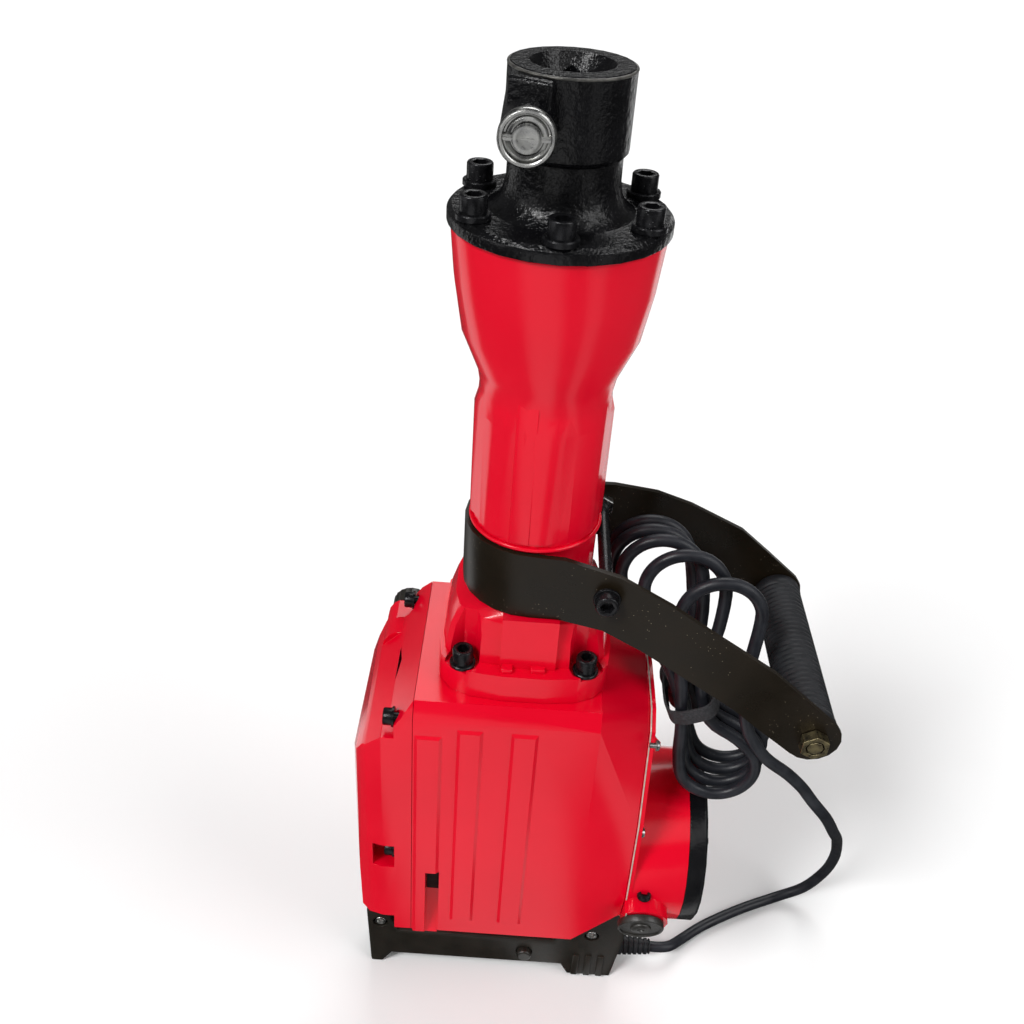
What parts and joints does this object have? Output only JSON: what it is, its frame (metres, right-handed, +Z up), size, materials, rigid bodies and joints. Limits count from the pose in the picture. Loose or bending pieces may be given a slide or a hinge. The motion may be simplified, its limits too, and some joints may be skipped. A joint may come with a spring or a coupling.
{
  "type": "electric demolition hammer",
  "caption": "Electric breaker standing nose up: hexagon tool nose, striking barrel, geared crank case, side motor, D-handle with trigger, turning side handle and a tied lead.",
  "frame": {"origin": "middle of the underside of the object without its lead, on the surface that it stands on", "axes": "+Z up along the barrel towards the nose, +X to the motor and side handle, +Y to the rear"},
  "size_m": [0.3842, 0.1694, 0.7],
  "materials": {
    "red_casting": "gloss",
    "black_casting": "gloss",
    "strap_steel": "satin",
    "rubber": "matte",
    "black_plastic": "satin",
    "black_screw": "satin",
    "zinc_steel": "satin",
    "bare_steel": "satin",
    "lamination": "satin",
    "copper_winding": "satin",
    "carbon": "matte"
  },
  "bodies": {
    "hammer_body": {"crank_case": "red_casting", "gear_cover": "red_casting", "cylinder_case": "red_casting", "motor_housing": "red_casting", "front_cover": "black_casting", "tail_cover": "black_casting", "cord_armor": "rubber", "cord": "rubber", "oil_gauge": "black_plastic", "brush_cap_front": "black_plastic", "brush_cap_rear": "black_plastic", "handle_front_shell": "black_plastic", "handle_rear_shell": "black_plastic", "switch_body": "black_plastic", "gear_cover_bolt_1": "black_screw", "gear_cover_bolt_2": "black_screw", "gear_cover_bolt_3": "black_screw", "gear_cover_bolt_4": "black_screw", "case_bolt_1": "black_screw", "case_bolt_2": "black_screw", "case_bolt_3": "black_screw", "case_bolt_4": "black_screw", "front_bolt_1": "black_screw", "front_bolt_2": "black_screw", "front_bolt_3": "black_screw", "front_bolt_4": "black_screw", "front_bolt_5": "black_screw", "front_bolt_6": "black_screw", "handle_bolt_1": "zinc_steel", "handle_bolt_2": "zinc_steel", "cylinder_liner": "bare_steel", "impact_bolt_guide": "bare_steel", "armature_bearing_1": "bare_steel", "armature_bearing_2": "bare_steel", "crank_bearing": "bare_steel", "stator": "copper_winding", "carbon_brush_front": "carbon", "carbon_brush_rear": "carbon"},
    "side_handle": {"side_handle_strap": "strap_steel", "side_grip": "rubber", "side_grip_bolt": "zinc_steel", "side_grip_nut": "zinc_steel", "clamp_bolt": "black_screw", "clamp_nut": "zinc_steel", "cord_hank": "rubber", "cord_tie": "rubber", "plug": "rubber"},
    "stop_lever": {"stop_lever": "bare_steel", "stop_lever_roll_pin": "zinc_steel"},
    "crank": {"crank_shaft": "bare_steel", "crank_gear": "bare_steel"},
    "intermediate": {"intermediate_gear_shaft": "bare_steel"},
    "armature": {"armature": "lamination", "cooling_fan": "black_plastic"},
    "connecting_rod": {"connecting_rod": "bare_steel"},
    "piston": {"piston": "bare_steel"},
    "striker": {"striker": "bare_steel"},
    "impact_bolt": {"impact_bolt": "bare_steel"},
    "trigger": {"trigger": "black_plastic"},
    "lock_button": {"lock_button": "zinc_steel"}
  },
  "joints": [
    {"name": "stop_lever_turn", "type": "hinge", "parent": "hammer_body", "child": "stop_lever", "pos_m": [-0.06255, -0.0496, 0.677], "axis": [0, -1, 0], "range_deg": [0, 180]},
    {"name": "side_handle_swivel", "type": "hinge", "parent": "hammer_body", "child": "side_handle", "pos_m": [-0.04355, -0.0046, 0.4173], "axis": [0, 0, 1], "range_deg": [-90, 90]},
    {"name": "armature_spin", "type": "hinge", "parent": "hammer_body", "child": "armature", "pos_m": [-0.04355, -0.0046, 0.16], "axis": [1, 0, 0], "continuous": true},
    {"name": "intermediate_spin", "type": "hinge", "parent": "hammer_body", "child": "intermediate", "pos_m": [-0.04355, -0.0046, 0.196], "axis": [1, 0, 0], "continuous": true},
    {"name": "crank_spin", "type": "hinge", "parent": "hammer_body", "child": "crank", "pos_m": [-0.04355, -0.0046, 0.25975], "axis": [1, 0, 0], "continuous": true},
    {"name": "rod_swing", "type": "hinge", "parent": "crank", "child": "connecting_rod", "pos_m": [-0.04355, -0.0046, 0.28175], "axis": [1, 0, 0], "continuous": true},
    {"name": "piston_stroke", "type": "slide", "parent": "hammer_body", "child": "piston", "axis": [0, 0, 1], "range_m": [0, 0.044]},
    {"name": "striker_stroke", "type": "slide", "parent": "hammer_body", "child": "striker", "axis": [0, 0, 1], "range_m": [0, 0.036]},
    {"name": "impact_bolt_stroke", "type": "slide", "parent": "hammer_body", "child": "impact_bolt", "axis": [0, 0, 1], "range_m": [0, 0.008]},
    {"name": "trigger_press", "type": "slide", "parent": "hammer_body", "child": "trigger", "axis": [0, 0, -1], "range_m": [0, 0.006], "stiffness_N_per_m": 500, "springref_m": -0.002},
    {"name": "lock_press", "type": "slide", "parent": "hammer_body", "child": "lock_button", "axis": [0, 1, 0], "range_m": [0, 0.003], "stiffness_N_per_m": 500, "springref_m": -0.002}
  ],
  "couplings": [
    {"joint": "intermediate_spin", "follows": "armature_spin", "ratio": -0.23077},
    {"joint": "crank_spin", "follows": "armature_spin", "ratio": 0.071006},
    {"joint": "rod_swing", "follows": "armature_spin", "ratio": -0.071006}
  ]
}
